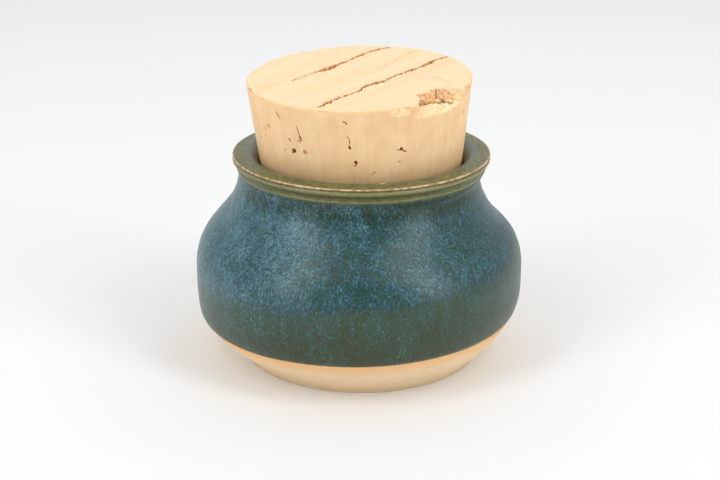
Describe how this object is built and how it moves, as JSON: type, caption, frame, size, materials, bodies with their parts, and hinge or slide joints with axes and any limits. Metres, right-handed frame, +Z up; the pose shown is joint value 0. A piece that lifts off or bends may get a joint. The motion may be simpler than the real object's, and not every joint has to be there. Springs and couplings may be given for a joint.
{
  "type": "ceramic jar with cork lid",
  "caption": "Squat round glazed stoneware jar with a bare clay foot, closed by a tapered natural cork pressed into its mouth.",
  "frame": {"origin": "centre of the foot, on the surface that the jar stands on", "axes": "+Z up along the jar's axis, -Y towards the torn chip in the cork's edge, +X to the right seen from there"},
  "size_m": [0.09, 0.09, 0.0783],
  "materials": {
    "glazed_stoneware": "satin dark green glaze with fine blue specks, bare buff clay at the foot",
    "natural_cork": "matt natural cork, cut and sanded"
  },
  "bodies": {
    "root": {"jar": "glazed_stoneware", "cork": "natural_cork"}
  },
  "joints": []
}
